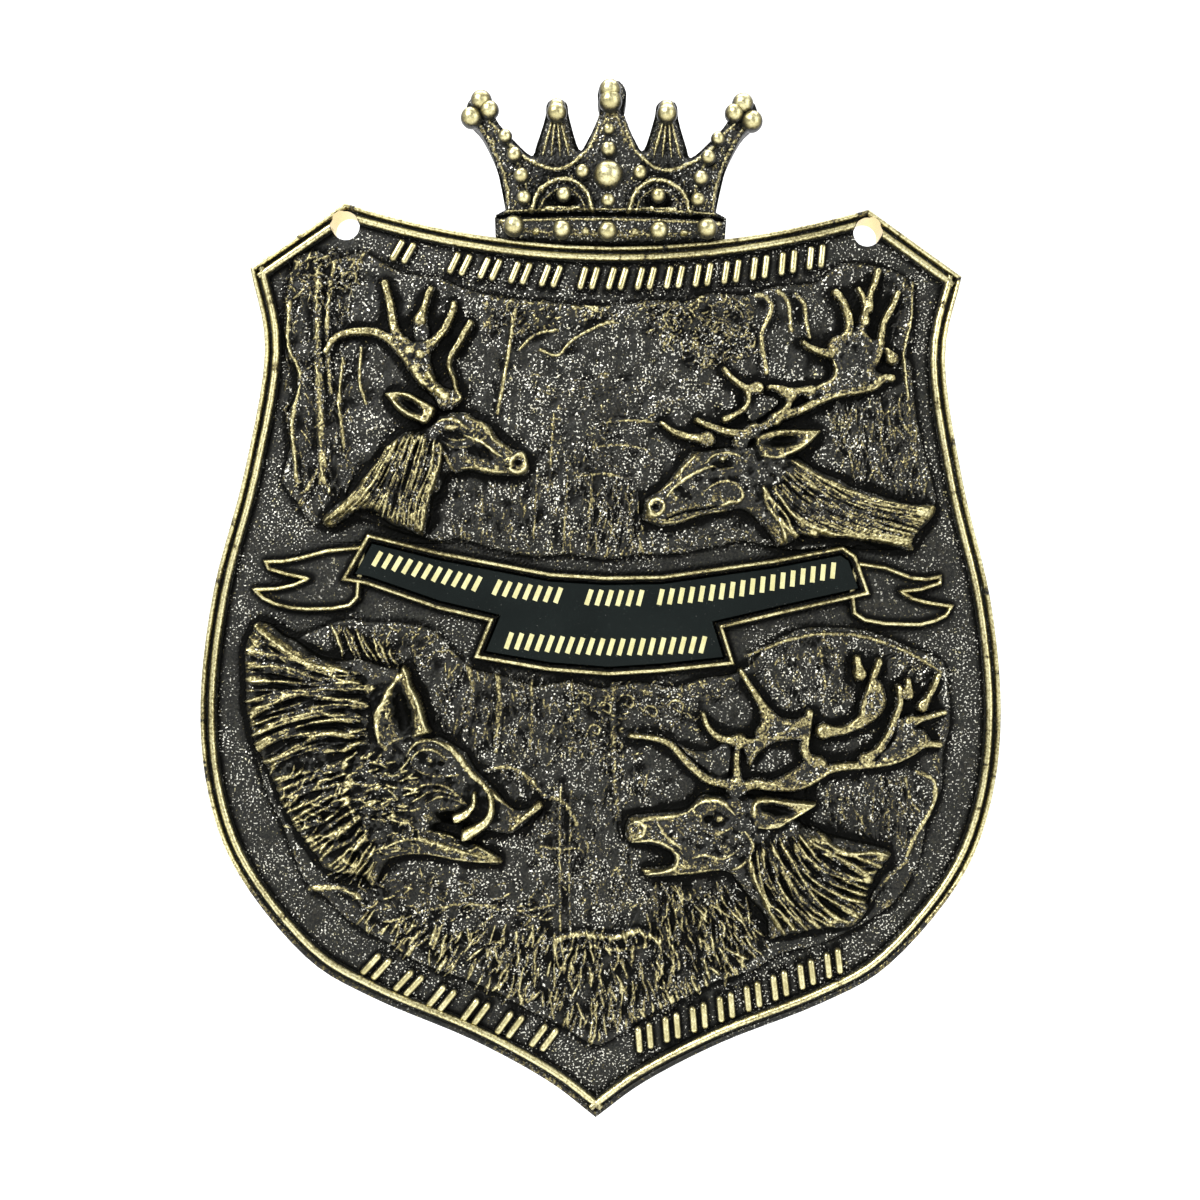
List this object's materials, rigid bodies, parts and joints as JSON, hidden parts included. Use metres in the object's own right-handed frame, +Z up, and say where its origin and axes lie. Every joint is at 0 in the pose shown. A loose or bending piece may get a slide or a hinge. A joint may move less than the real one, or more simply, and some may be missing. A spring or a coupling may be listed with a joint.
{
  "type": "heraldic shield plaque",
  "caption": "Cast brass wall plaque in the form of a crowned heraldic shield with deer, stag and boar reliefs, a ribbon plate and two hanging holes.",
  "frame": {"origin": "on the flat back, midway between the two hanging holes", "axes": "+X to the right as seen from the front, +Z up, and +Y out of the back towards the wall"},
  "size_m": [0.1438, 0.0105, 0.1864],
  "materials": {
    "antique_brass": "cast and blackened, with the high spots rubbed back to pale brass",
    "black_plate": "glossy black with pale gold strokes printed on it"
  },
  "bodies": {
    "root": {"shield_casting": "antique_brass", "ribbon_plate": "black_plate"}
  },
  "joints": []
}
